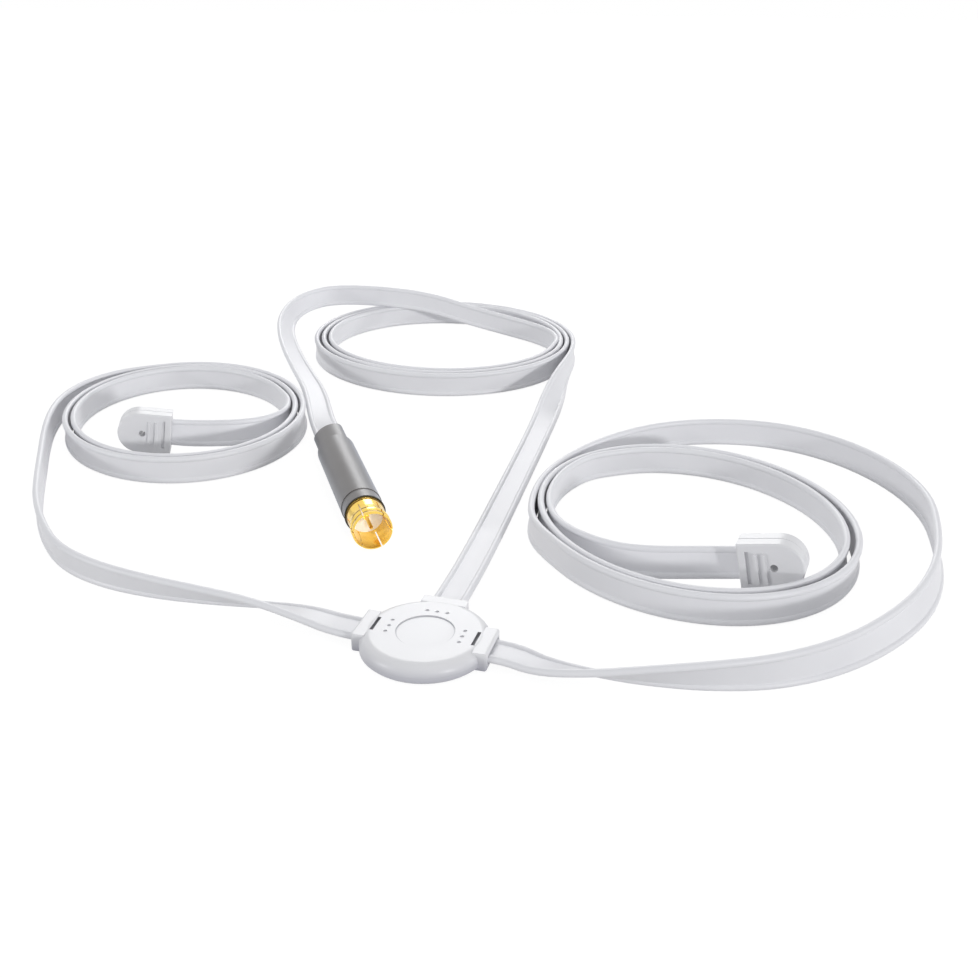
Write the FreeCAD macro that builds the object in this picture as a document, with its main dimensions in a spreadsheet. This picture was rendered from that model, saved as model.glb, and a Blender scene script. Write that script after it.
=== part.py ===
import FreeCAD
import Part
import math
import os
import Sketcher

# Flat-ribbon FM dipole antenna: a round hub, two arms wound into coils with end caps,
# and a feeder wound into a coil with a grey sleeve and a push-on plug.
# Millimetres. The origin is the middle of the hub's underside, +X is the right arm's exit,
# +Y is the feeder's exit and +Z is up.

SIZES = {
    # ribbon cable
    "ribbon_width": 8.0,
    "ribbon_thick": 1.9,
    "ribbon_pitch": 3.0,
    "ribbon_play": 0.1,
    "conductor_offset": 3.05,
    # hub shells
    "hub_radius": 14.2,
    "hub_height": 4.4,
    "hub_split": 1.7,
    "hub_wall": 1.3,
    "hub_floor": 0.9,
    "hub_roof": 1.1,
    "hub_round": 2.5,
    "hub_foot": 0.8,
    "hub_grip": 8.0,
    "ribbon_level": 2.2,
    "collar_out": 0.9,
    "collar_width": 10.4,
    "collar_low": 0.1,
    "collar_step": 0.1,
    "collar_round": 0.6,
    "badge_radius": 6.4,
    "badge_depth": 0.25,
    "dimple_radius": 0.45,
    "dimple_depth": 0.3,
    "dimple_place": 8.2,
    "dimple_gap": 2.3,
    "slit_place": 11.3,
    "slit_length": 5.4,
    "slit_width": 0.8,
    "slit_depth": 0.8,
    # joints inside the hub
    "board_half": 6.6,
    "board_front": 5.2,
    "board_thick": 0.8,
    "joint_place": 5.5,
    "joint_radius": 0.8,
    "joint_height": 0.95,
    "strand_radius": 0.35,
    # end caps
    "cap_length": 15.2,
    "cap_height": 12.2,
    "cap_half": 3.3,
    "cap_edge": 0.4,
    "cap_seam": 0.25,
    "cap_grip": 6.0,
    "cap_slot_place": 1.8,
    "cap_slot_wide": 0.9,
    "cap_slot_tall": 8.4,
    "cap_slot_deep": 0.8,
    "cap_rib_place": 3.9,
    "cap_rib_gap": 2.0,
    "cap_rib_wide": 0.75,
    "cap_rib_tall": 7.6,
    "cap_rib_rise": 0.65,
    "cap_hole_place": 8.2,
    "cap_hole_radius": 0.95,
    "link_wide": 1.0,
    "link_tall": 7.0,
    "link_thick": 1.2,
    "left_cap_x": -109.0,
    "left_cap_y": 82.35,
    "left_cap_turn": 206.0,
    "left_cap_rise": 9.0,
    "right_cap_x": 63.4,
    "right_cap_y": 46.4,
    "right_cap_turn": -7.0,
    "right_cap_rise": 12.0,
    # coils
    "left_coil_x": -113.3,
    "left_coil_y": 98.5,
    "left_coil_long": 43.9,
    "left_coil_short": 37.3,
    "left_coil_tilt": -50.0,
    "left_coil_start": 180.0,
    "left_coil_turns": 2.25,
    "right_coil_x": 48.6,
    "right_coil_y": 67.9,
    "right_coil_long": 45.2,
    "right_coil_short": 39.5,
    "right_coil_tilt": -50.6,
    "right_coil_start": 270.0,
    "right_coil_turns": 1.75,
    "feeder_coil_x": -58.8,
    "feeder_coil_y": 191.6,
    "feeder_coil_long": 49.3,
    "feeder_coil_short": 45.2,
    "feeder_coil_tilt": -13.5,
    "feeder_coil_start": 17.0,
    "feeder_coil_turns": 3.0,
    # plug
    "plug_x": -63.2,
    "plug_y": 95.48,
    "plug_turn": -57.34,
    "plug_roll": 26.0,
    "plug_grip": 10.0,
    "neck_half_width": 4.6,
    "neck_half_height": 2.7,
    "neck_run": 10.0,
    "sleeve_radius": 5.4,
    "sleeve_start": 14.5,
    "sleeve_ridge": 52.6,
    "sleeve_end": 57.0,
    "ridge_drop": 0.2,
    "cavity_radius": 4.6,
    "cavity_start": 17.0,
    "barrel_start": 47.0,
    "barrel_bore": 3.6,
    "shell_ring": 5.0,
    "ring_end": 58.1,
    "spring_start": 58.5,
    "spring_back": 4.9,
    "spring_waist": 4.75,
    "waist_place": 61.3,
    "bead_start": 63.3,
    "bead_radius": 5.15,
    "bead_end": 65.2,
    "lip_groove": 4.98,
    "plug_length": 67.1,
    "shell_wall": 0.4,
    "slot_start": 59.1,
    "slot_width": 0.35,
    "slot_count": 6,
    "insulator_back": 55.6,
    "insulator_front": 58.6,
    "pin_radius": 0.5,
    "pin_seat_radius": 0.8,
    "pin_back": 50.0,
    "pin_tip": 65.6,
    "pin_taper": 0.7,
    "core_start": 24.0,
    "core_end": 32.0,
    "core_half": 4.55,
    "core_thick": 5.0,
    "core_hole": 1.0,
    "core_hole_offset": 2.05,
    "wire_radius": 0.45,
    "shell_wire_offset": 4.05,
}

doc = FreeCAD.newDocument("fm_wire_antenna")
UP = FreeCAD.Vector(0, 0, 1)


class Formula:
    """A size made of sheet cells: the expression's text and the number it gives."""

    def __init__(self, text, value):
        self.text = text
        self.value = value

    def __add__(self, other):
        other = formula(other)
        return Formula("(%s + %s)" % (self.text, other.text), self.value + other.value)

    def __radd__(self, other):
        return formula(other) + self

    def __sub__(self, other):
        other = formula(other)
        return Formula("(%s - %s)" % (self.text, other.text), self.value - other.value)

    def __rsub__(self, other):
        return formula(other) - self

    def __mul__(self, other):
        other = formula(other)
        return Formula("(%s * %s)" % (self.text, other.text), self.value * other.value)

    def __rmul__(self, other):
        return formula(other) * self

    def __truediv__(self, other):
        other = formula(other)
        return Formula("(%s / %s)" % (self.text, other.text), self.value / other.value)

    def __neg__(self):
        return Formula("(0 - %s)" % self.text, -self.value)


def formula(value):
    """Return value as a Formula, also when it is a plain number."""
    if isinstance(value, Formula):
        return value
    return Formula("(%r)" % float(value), float(value))


class Sheet:
    """The spreadsheet of driving sizes; each alias reads as a Formula."""

    def __init__(self, values):
        self.cells = doc.addObject("Spreadsheet::Sheet", "Sizes")
        for row, (alias, value) in enumerate(values.items(), start=1):
            self.cells.set("A%d" % row, alias)
            self.cells.set("B%d" % row, "%g" % value)
            self.cells.setAlias("B%d" % row, alias)
        doc.recompute()

    def __getattr__(self, alias):
        return Formula("Sizes." + alias, float(self.cells.get(alias)))


size = Sheet(SIZES)


def bind(target, place, value):
    """Drive one property of an object by the sheet."""
    target.setExpression(place, formula(value).text)


# Sketches and PartDesign features


def new_body(name):
    """Return an empty body whose label is the node's name."""
    body = doc.addObject("PartDesign::Body", name)
    body.Label = name
    return body


def new_sketch(body, role, lift=None):
    """Return a sketch on one of the body's own origin planes, lifted along its normal."""
    plane = [item for item in body.Origin.OriginFeatures if item.Role == role][0]
    sketch = body.newObject("Sketcher::SketchObject", body.Name + "_sketch")
    sketch.AttachmentSupport = [(plane, "")]
    sketch.MapMode = "FlatFace"
    if lift is not None:
        bind(sketch, "AttachmentOffset.Base.z", lift)
    doc.recompute()
    return sketch


def pin_point(sketch, item, point, place):
    """Tie one point of a sketch item to the sketch's origin by two driven distances."""
    for kind, value in zip(("DistanceX", "DistanceY"), place):
        value = formula(value)
        index = sketch.addConstraint(Sketcher.Constraint(kind, -1, 1, item, point, value.value))
        bind(sketch, "Constraints[%d]" % index, value)


def polygon(sketch, corners):
    """Draw a closed outline through the corners, each tied to the sheet."""
    first = sketch.GeometryCount
    count = len(corners)
    flat = [FreeCAD.Vector(formula(x).value, formula(y).value, 0) for x, y in corners]
    for step in range(count):
        sketch.addGeometry(Part.LineSegment(flat[step], flat[(step + 1) % count]))
    for step in range(count):
        after = first + (step + 1) % count
        sketch.addConstraint(Sketcher.Constraint("Coincident", first + step, 2, after, 1))
    for step, corner in enumerate(corners):
        pin_point(sketch, first + step, 1, corner)


def rectangle(sketch, low_x, low_y, high_x, high_y):
    """Draw an upright rectangle between two opposite corners."""
    polygon(sketch, [(low_x, low_y), (high_x, low_y), (high_x, high_y), (low_x, high_y)])


def circle(sketch, x, y, radius):
    """Draw a circle tied to the sheet."""
    centre = FreeCAD.Vector(formula(x).value, formula(y).value, 0)
    item = sketch.addGeometry(Part.Circle(centre, UP, formula(radius).value))
    index = sketch.addConstraint(Sketcher.Constraint("Radius", item, formula(radius).value))
    bind(sketch, "Constraints[%d]" % index, radius)
    pin_point(sketch, item, 3, (x, y))


def pad(body, sketch, length, reverse=False):
    """Add the sketch's area to the body."""
    feature = body.newObject("PartDesign::Pad", body.Name + "_pad")
    feature.Profile = sketch
    feature.Reversed = reverse
    bind(feature, "Length", length)
    doc.recompute()
    return feature


def pocket(body, sketch, depth, reverse=False):
    """Cut the sketch's area out of the body, and stop if nothing was cut."""
    before = body.Shape.Volume
    feature = body.newObject("PartDesign::Pocket", body.Name + "_pocket")
    feature.Profile = sketch
    feature.Reversed = reverse
    bind(feature, "Length", depth)
    doc.recompute()
    if not body.Shape.Volume < before - 1e-6:
        raise ValueError("a pocket of %s cuts nothing" % body.Label)
    return feature


def revolve(body, sketch, axis):
    """Turn the sketch's outline once round one of its own axes."""
    feature = body.newObject("PartDesign::Revolution", body.Name + "_revolution")
    feature.Profile = sketch
    feature.ReferenceAxis = (sketch, [axis])
    feature.Angle = 360
    doc.recompute()
    return feature


def round_edges(body, feature, radius, wanted):
    """Round the edges of a feature for which wanted(edge) is true."""
    names = ["Edge%d" % (n + 1) for n, edge in enumerate(feature.Shape.Edges) if wanted(edge)]
    if not names:
        raise ValueError("no edge to round on %s" % body.Label)
    fillet = body.newObject("PartDesign::Fillet", body.Name + "_fillet")
    fillet.Base = (feature, names)
    bind(fillet, "Radius", radius)
    doc.recompute()
    return fillet


# Part primitives


def box(name, low, lengths):
    """Return a box from its low corner and its three lengths."""
    item = doc.addObject("Part::Box", name)
    for place, value in zip(("Length", "Width", "Height"), lengths):
        bind(item, place, value)
    for place, value in zip("xyz", low):
        bind(item, "Placement.Base." + place, value)
    return item


TURNS = {
    "x": FreeCAD.Rotation(FreeCAD.Vector(0, 1, 0), 90),
    "y": FreeCAD.Rotation(FreeCAD.Vector(1, 0, 0), -90),
    "z": FreeCAD.Rotation(),
}


def rod(name, start, axis, length, radius):
    """Return a round rod that starts at a point and runs along +x, +y or +z."""
    item = doc.addObject("Part::Cylinder", name)
    item.Placement = FreeCAD.Placement(FreeCAD.Vector(), TURNS[axis])
    bind(item, "Radius", radius)
    bind(item, "Height", length)
    for place, value in zip("xyz", start):
        bind(item, "Placement.Base." + place, value)
    return item


def fuse(name, items):
    """Return the items joined under one name."""
    joined = doc.addObject("Part::MultiFuse", name)
    joined.Shapes = items
    joined.Label = name
    doc.recompute()
    return joined


def cut(name, base, tool):
    """Return base with the tool's volume taken away."""
    result = doc.addObject("Part::Cut", name)
    result.Base = base
    result.Tool = tool
    result.Label = name
    doc.recompute()
    return result


# Hub


EXITS = ((-1, 0), (1, 0), (0, 1))


def along_exit(sketch, way, start, end, half_width):
    """Draw a rectangle along one of the hub's three exits."""
    x, y = way
    if x:
        rectangle(sketch, x * start, -half_width, x * end, half_width)
    else:
        rectangle(sketch, -half_width, y * start, half_width, y * end)


def add_collars(body, low, high):
    """Add the three ribbon collars between two heights."""
    inner = size.hub_radius - size.hub_wall * 1.7
    reach = size.hub_radius + size.collar_out
    end, split = reach.value, size.hub_split.value
    for x, y in EXITS:
        sketch = new_sketch(body, "XY_Plane", low)
        along_exit(sketch, (x, y), inner, reach, size.collar_width / 2)
        collar = pad(body, sketch, high - low)

        def at_the_end(edge):
            """Whether an edge bounds the collar's outer end, away from the other shell."""
            ends = [vertex.Point for vertex in edge.Vertexes]
            out = all(abs(point.x * x + point.y * y - end) < 0.01 for point in ends)
            return out and not all(abs(point.z - split) < 0.01 for point in ends)

        round_edges(body, collar, size.collar_round, at_the_end)


def cut_ribbon_ways(body, low, high):
    """Cut the ribbon's way through wall and collars between two heights."""
    inner = size.hub_radius - size.hub_wall * 3
    outer = size.hub_radius + size.collar_out + 1
    for way in EXITS:
        sketch = new_sketch(body, "XY_Plane", high)
        along_exit(sketch, way, inner, outer, size.ribbon_width / 2 + size.ribbon_play)
        pocket(body, sketch, high - low)


def hub_bottom_shell():
    """The dish that rests on the table."""
    body = new_body("hub_bottom_shell")
    radius, inner = size.hub_radius, size.hub_radius - size.hub_wall
    sketch = new_sketch(body, "XZ_Plane")
    polygon(sketch, [
        (0, 0),
        (radius - size.hub_foot, 0),
        (radius, size.hub_foot),
        (radius, size.hub_split),
        (inner, size.hub_split),
        (inner, size.hub_floor),
        (0, size.hub_floor),
    ])
    revolve(body, sketch, "V_Axis")
    add_collars(body, size.collar_low, size.hub_split)
    low = size.ribbon_level - size.ribbon_thick / 2 - size.ribbon_play
    cut_ribbon_ways(body, low, size.hub_split)
    return body


def hub_top_shell():
    """The domed lid with its badge recess, dimples and vent slits."""
    body = new_body("hub_top_shell")
    radius, inner = size.hub_radius, size.hub_radius - size.hub_wall
    ceiling = size.hub_height - size.hub_roof
    sketch = new_sketch(body, "XZ_Plane")
    polygon(sketch, [
        (inner, size.hub_split),
        (radius, size.hub_split),
        (radius, size.hub_height),
        (0, size.hub_height),
        (0, ceiling),
        (inner, ceiling),
    ])
    dome = revolve(body, sketch, "V_Axis")
    top = size.hub_height.value - 0.01
    round_edges(body, dome, size.hub_round, lambda edge: (
        edge.BoundBox.ZMin > top and edge.BoundBox.XMax > radius.value - 0.01))
    add_collars(body, size.hub_split, size.hub_height - size.collar_step)
    high = size.ribbon_level + size.ribbon_thick / 2 + size.ribbon_play
    cut_ribbon_ways(body, size.hub_split, high)
    badge = new_sketch(body, "XY_Plane", size.hub_height)
    circle(badge, 0, 0, size.badge_radius)
    pocket(body, badge, size.badge_depth)
    dimples = new_sketch(body, "XY_Plane", size.hub_height)
    for x, y in EXITS:
        for step in (-1, 0, 1):
            circle(dimples, x * size.dimple_place + y * step * size.dimple_gap,
                   y * size.dimple_place + x * step * size.dimple_gap, size.dimple_radius)
    pocket(body, dimples, size.dimple_depth)
    slits = new_sketch(body, "XY_Plane", size.hub_height)
    for way in EXITS[:2]:
        half = size.slit_width / 2
        along_exit(slits, way, size.slit_place - half, size.slit_place + half, size.slit_length / 2)
    pocket(body, slits, size.slit_depth)
    return body


def junction_board():
    """The small board on the hub's floor."""
    half = size.board_half
    board = box("junction_board", (-half, -size.board_front, size.hub_floor),
                (half * 2, half + size.board_front, size.board_thick))
    board.Label = "junction_board"
    doc.recompute()
    return board


def solder_joints():
    """Six joints on the board, each with the bare strand that comes from a ribbon's end."""
    items = []
    floor = size.hub_floor + size.board_thick
    gap = size.hub_grip - size.joint_place
    for x, y in EXITS:
        for side in (-1, 1):
            across = side * size.conductor_offset
            place = (x * size.joint_place + y * across, y * size.joint_place + x * across)
            name = "joint_%d" % len(items)
            items.append(rod(name, (place[0], place[1], floor), "z", size.joint_height, size.joint_radius))
            low = (place[0] - gap if x < 0 else place[0], place[1], size.ribbon_level)
            items.append(rod(name + "_strand", low, "x" if x else "y", gap, size.strand_radius))
    return fuse("solder_joints", items)


# End caps


def cap_half(name, side):
    """One half of a D-shaped cap; side is -1 for the half on -y and 1 for the half on +y."""
    body = new_body(name)
    away = side > 0
    middle = size.cap_height / 2
    straight = size.cap_length - middle
    outer = size.cap_half if not away else -size.cap_half
    sketch = new_sketch(body, "XZ_Plane")
    rectangle(sketch, 0, 0, straight, size.cap_height)
    pad(body, sketch, size.cap_half, reverse=away)
    sketch = new_sketch(body, "XZ_Plane")
    circle(sketch, straight, middle, middle)
    shape = pad(body, sketch, size.cap_half, reverse=away)
    for radius, level in ((size.cap_edge, side * size.cap_half.value), (size.cap_seam, 0)):
        shape = round_edges(body, shape, radius, lambda edge: (
            abs(edge.BoundBox.YMin - level) < 0.01 and abs(edge.BoundBox.YMax - level) < 0.01))
    play = size.ribbon_play
    sketch = new_sketch(body, "XZ_Plane")
    half = size.ribbon_width / 2 + play
    rectangle(sketch, -1, middle - half, size.cap_grip, middle + half)
    pocket(body, sketch, size.ribbon_thick / 2 + play, reverse=not away)
    sketch = new_sketch(body, "XZ_Plane")
    half = size.link_tall / 2 + play
    rectangle(sketch, size.cap_grip - 1, middle - half, size.cap_grip + size.link_wide + play, middle + half)
    pocket(body, sketch, size.link_thick / 2, reverse=not away)
    sketch = new_sketch(body, "XZ_Plane")
    circle(sketch, size.cap_hole_place, middle, size.cap_hole_radius)
    pocket(body, sketch, size.cap_half + 1, reverse=not away)
    sketch = new_sketch(body, "XZ_Plane", outer)
    half = size.cap_slot_tall / 2
    rectangle(sketch, size.cap_slot_place, middle - half, size.cap_slot_place + size.cap_slot_wide, middle + half)
    pocket(body, sketch, size.cap_slot_deep, reverse=away)
    sketch = new_sketch(body, "XZ_Plane", outer)
    half = size.cap_rib_tall / 2
    for step in (0, 1):
        start = size.cap_rib_place + step * size.cap_rib_gap
        rectangle(sketch, start, middle - half, start + size.cap_rib_wide, middle + half)
    pad(body, sketch, size.cap_rib_rise, reverse=away)
    return body


def shorting_link(name):
    """The bar that joins both conductors at the ribbon's end inside a cap."""
    middle = size.cap_height / 2
    link = box(name, (size.cap_grip, -size.link_thick / 2, middle - size.link_tall / 2),
               (size.link_wide, size.link_thick, size.link_tall))
    link.Label = name
    doc.recompute()
    return link


def set_place(item, side, own=None):
    """Put a cap's piece, built along +x, at its arm's end: lower edge on the table, free end raised."""
    turn = FreeCAD.Rotation(UP, getattr(size, side + "_cap_turn").value)
    rise = FreeCAD.Rotation(FreeCAD.Vector(0, 1, 0), -getattr(size, side + "_cap_rise").value)
    place = FreeCAD.Vector(getattr(size, side + "_cap_x").value, getattr(size, side + "_cap_y").value, 0)
    spot = FreeCAD.Placement(place, turn.multiply(rise))
    if own is None:
        item.Placement = spot
        return item
    for axis in "xyz":
        item.setExpression("Placement.Base." + axis, None)
    item.Placement = spot.multiply(FreeCAD.Placement(FreeCAD.Vector(*[formula(v).value for v in own]),
                                                     FreeCAD.Rotation()))
    return item


# Plug


def ellipse(name, place, half_width, half_height):
    """Return an oval across the plug's axis, its long way along y."""
    item = doc.addObject("Part::Ellipse", name)
    item.Placement = FreeCAD.Placement(FreeCAD.Vector(), FreeCAD.Rotation(FreeCAD.Vector(1, 1, 1), 120))
    bind(item, "MajorRadius", half_width)
    bind(item, "MinorRadius", half_height)
    bind(item, "Placement.Base.x", place)
    return item


def connector_sleeve():
    """The grey sleeve: flat neck round the ribbon, shoulder, round body and stepped front."""
    flat = (size.neck_half_width, size.neck_half_height)
    full = (size.sleeve_radius, size.sleeve_radius)
    loft = doc.addObject("Part::Loft", "sleeve_loft")
    loft.Sections = [
        ellipse("neck_back", 0, *flat),
        ellipse("neck_front", size.neck_run, *flat),
        ellipse("shoulder", size.sleeve_start, *full),
        ellipse("ridge", size.sleeve_ridge, *full),
    ]
    loft.Solid = True
    loft.Ruled = True
    front = rod("sleeve_front", (size.sleeve_ridge, 0, 0), "x",
                size.sleeve_end - size.sleeve_ridge, size.sleeve_radius - size.ridge_drop)
    whole = fuse("sleeve_whole", [loft, front])
    half = size.ribbon_width / 2 + size.ribbon_play
    thick = size.ribbon_thick / 2 + size.ribbon_play
    hollow = fuse("sleeve_hollow", [
        rod("sleeve_cavity", (size.cavity_start, 0, 0), "x",
            size.sleeve_end - size.cavity_start + 1, size.cavity_radius),
        box("sleeve_ribbon_way", (-1, -half, -thick), (size.cavity_start + 2, half * 2, thick * 2)),
    ])
    return cut("connector_sleeve", whole, hollow)


def connector_shell():
    """The gold shell: barrel in the sleeve, ring, slotted spring mouth with a bead behind the lip."""
    body = new_body("connector_shell")
    wall = size.shell_wall
    barrel = size.cavity_radius - 0.05
    seat = size.insulator_back
    sketch = new_sketch(body, "XZ_Plane")
    polygon(sketch, [
        (size.barrel_start, size.barrel_bore),
        (size.barrel_start, barrel),
        (size.sleeve_end, barrel),
        (size.sleeve_end, size.shell_ring),
        (size.ring_end, size.shell_ring),
        (size.spring_start, size.spring_back),
        (size.waist_place, size.spring_waist),
        (size.bead_start, size.spring_back),
        (size.bead_start + 0.5, size.bead_radius),
        (size.bead_end - 0.5, size.bead_radius),
        (size.bead_end, size.lip_groove),
        (size.plug_length - 0.5, size.bead_radius),
        (size.plug_length, size.bead_radius - 0.15),
        (size.plug_length, size.bead_radius - wall),
        (size.bead_end, size.lip_groove - wall),
        (size.waist_place, size.spring_waist - wall),
        (size.insulator_front, size.spring_waist - wall),
        (seat, size.spring_waist - wall),
        (seat, size.barrel_bore),
    ])
    revolve(body, sketch, "H_Axis")
    sketch = new_sketch(body, "XY_Plane")
    half = size.slot_width / 2
    rectangle(sketch, size.slot_start, -half, size.plug_length + 1, half)
    slot = pocket(body, sketch, size.sleeve_radius + 1)
    pattern = body.newObject("PartDesign::PolarPattern", "connector_shell_slots")
    pattern.Originals = [slot]
    pattern.Axis = (sketch, ["H_Axis"])
    pattern.Angle = 360
    bind(pattern, "Occurrences", size.slot_count)
    body.Tip = pattern
    doc.recompute()
    return body


def connector_insulator():
    """The white disc that holds the pin in the shell."""
    body = new_body("connector_insulator")
    outer = size.spring_waist - size.shell_wall
    sketch = new_sketch(body, "XZ_Plane")
    polygon(sketch, [
        (size.insulator_back, size.pin_seat_radius),
        (size.insulator_front, size.pin_seat_radius),
        (size.insulator_front, outer),
        (size.insulator_back, outer),
    ])
    revolve(body, sketch, "H_Axis")
    return body


def centre_pin():
    """The gold pin: a thicker seat in the insulator, then thin with a tapered tip."""
    body = new_body("centre_pin")
    sketch = new_sketch(body, "XZ_Plane")
    polygon(sketch, [
        (size.pin_back, 0),
        (size.pin_tip, 0),
        (size.pin_tip, size.pin_radius * 0.4),
        (size.pin_tip - size.pin_taper, size.pin_radius),
        (size.insulator_front, size.pin_radius),
        (size.insulator_front, size.pin_seat_radius),
        (size.pin_back, size.pin_seat_radius),
    ])
    revolve(body, sketch, "H_Axis")
    return body


def balun_core():
    """The two-hole ferrite core that fits across the sleeve's cavity."""
    length = size.core_end - size.core_start
    round_radius = size.core_thick / 2
    side = size.core_half - round_radius
    start = size.core_start
    solid = fuse("core_solid", [
        box("core_middle", (start, -side, -round_radius), (length, side * 2, size.core_thick)),
        rod("core_left", (start, -side, 0), "x", length, round_radius),
        rod("core_right", (start, side, 0), "x", length, round_radius),
    ])
    holes = fuse("core_holes", [
        rod("core_hole_left", (start - 1, -size.core_hole_offset, 0), "x", length + 2, size.core_hole),
        rod("core_hole_right", (start - 1, size.core_hole_offset, 0), "x", length + 2, size.core_hole),
    ])
    return cut("balun_core", solid, holes)


def balun_winding():
    """The wire loop through both holes, closed across the core's two end faces."""
    radius = size.wire_radius
    back = size.core_start - radius
    front = size.core_end + radius
    reach = size.conductor_offset + radius
    return fuse("balun_winding", [
        rod("wire_left", (back, -size.core_hole_offset, 0), "x", front - back, radius),
        rod("wire_right", (back, size.core_hole_offset, 0), "x", front - back, radius),
        rod("wire_back", (back, -reach, 0), "y", reach * 2, radius),
        rod("wire_front", (front, -reach, 0), "y", reach + size.shell_wire_offset + radius, radius),
    ])


def balun_leads():
    """Two wires from the ribbon's end to the winding, one from it to the pin and one to the shell."""
    radius = size.wire_radius
    back = size.core_start - radius * 2
    front = size.core_end + radius * 2
    thin = radius * 0.8
    run = back - size.plug_grip
    return fuse("balun_leads", [
        rod("lead_left", (size.plug_grip, -size.conductor_offset, 0), "x", run, thin),
        rod("lead_right", (size.plug_grip, size.conductor_offset, 0), "x", run, thin),
        rod("lead_pin", (front, size.pin_seat_radius / 2, 0), "x", size.pin_back - front, thin),
        rod("lead_shell", (front, size.shell_wire_offset, 0), "x", size.barrel_start - front, thin),
    ])


def plug_spot():
    """Where the plug's neck lies on the table, how it points and how its flat neck leans."""
    place = FreeCAD.Vector(size.plug_x.value, size.plug_y.value, size.sleeve_radius.value)
    turn = FreeCAD.Rotation(UP, size.plug_turn.value)
    roll = FreeCAD.Rotation(FreeCAD.Vector(1, 0, 0), size.plug_roll.value)
    return FreeCAD.Placement(place, turn.multiply(roll))


# Ribbons


class Coil:
    """A flat coil of ribbon on edge: an oval that shrinks by one pitch each turn."""

    def __init__(self, name, clockwise):
        self.name = name
        self.centre = (self.cell("x"), self.cell("y"))
        self.long = self.cell("long")
        self.short = self.cell("short")
        self.tilt = self.cell("tilt")
        self.start = self.cell("start")
        self.turns = self.cell("turns")
        self.way = -1 if clockwise else 1
        self.pitch = size.ribbon_pitch.value
        self.thick = size.ribbon_thick.value

    def cell(self, word):
        """Return one of the coil's sizes."""
        return getattr(size, "%s_coil_%s" % (self.name, word)).value

    def point(self, turn, offset=0.0):
        """Return the plan point after some turns, offset outwards from the ribbon's middle."""
        angle = math.radians(self.start + self.way * 360 * turn)
        x = (self.long - self.pitch * turn + offset) * math.cos(angle)
        y = (self.short - self.pitch * turn + offset) * math.sin(angle)
        tilt = math.radians(self.tilt)
        return (self.centre[0] + x * math.cos(tilt) - y * math.sin(tilt),
                self.centre[1] + x * math.sin(tilt) + y * math.cos(tilt))

    def heading(self, turn):
        """Return the ribbon's direction across the step face after some turns."""
        angle = math.radians(self.start + self.way * 360 * turn + self.tilt + self.way * 90)
        return (math.cos(angle), math.sin(angle))

    def before(self, run):
        """Return the plan point on the straight way in, one run before the coil."""
        (x, y), (dx, dy) = self.point(0), self.heading(0)
        return (x - dx * run, y - dy * run)

    def after(self, run):
        """Return the plan point on the straight way out, one run after the coil."""
        (x, y), (dx, dy) = self.point(self.turns), self.heading(self.turns)
        return (x + dx * run, y + dy * run)

    def outline(self, first, offset):
        """Return the closed wire of one turn of the spiral with its step."""
        steps = 24
        points = [self.point(first + step / steps, offset) for step in range(steps + 1)]
        points = [FreeCAD.Vector(x, y, 0) for x, y in points]
        curve = Part.BSplineCurve()
        curve.interpolate(points)
        return Part.Wire([curve.toShape(), Part.makeLine(points[-1], points[0])])

    def solid(self):
        """Return the coil's outer shape with its open middle."""
        outer = self.outline(0, self.thick / 2)
        inner = self.outline(self.turns - 1, -self.thick / 2)
        face = Part.Face([outer, inner], "Part::FaceMakerBullseye")
        return face.extrude(FreeCAD.Vector(0, 0, size.ribbon_width.value))


def plan_stations(points):
    """Return (x, y, heading, travelled, lift, lean, rise) along straight runs joined by tangent arcs."""
    points = [tuple(point) + (0,) * (5 - len(point)) for point in points]
    runs = []
    for a, b in zip(points, points[1:]):
        runs.append((math.hypot(b[0] - a[0], b[1] - a[1]), math.atan2(b[1] - a[1], b[0] - a[0])))
    places = [(points[0][0], points[0][1], runs[0][1])]
    marks = [0]
    radii = []
    for index in range(1, len(points) - 1):
        (before, came), (after, goes) = runs[index - 1], runs[index]
        turn = (goes - came + math.pi) % (2 * math.pi) - math.pi
        turn = math.copysign(max(abs(turn), 1e-4), turn)
        back = 0.45 * min(before, after)
        radius = back / math.tan(abs(turn) / 2)
        radii.append(radius)
        x = points[index][0] - back * math.cos(came)
        y = points[index][1] - back * math.sin(came)
        side = math.copysign(1, turn)
        centre = (x - side * radius * math.sin(came), y + side * radius * math.cos(came))
        pieces = max(2, 2 * math.ceil(abs(math.degrees(turn)) / 24))
        for step in range(pieces + 1):
            heading = came + turn * step / pieces
            places.append((centre[0] + side * radius * math.sin(heading),
                           centre[1] - side * radius * math.cos(heading), heading))
            if step == pieces // 2:
                marks.append(len(places) - 1)
    places.append((points[-1][0], points[-1][1], runs[-1][1]))
    marks.append(len(places) - 1)
    travelled = [0.0]
    for a, b in zip(places, places[1:]):
        travelled.append(travelled[-1] + math.hypot(b[0] - a[0], b[1] - a[1]))
    stations = []
    for index, (x, y, heading) in enumerate(places):
        piece = max(0, min(len(marks) - 2, sum(1 for mark in marks if mark <= index) - 1))
        low, high = travelled[marks[piece]], travelled[marks[piece + 1]]
        share = (travelled[index] - low) / (high - low)
        here, there = points[piece], points[piece + 1]
        lift, lean, rise = [here[n] + (there[n] - here[n]) * share for n in (2, 3, 4)]
        stations.append((x, y, heading, travelled[index], lift, lean, rise))
    return stations, radii


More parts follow.
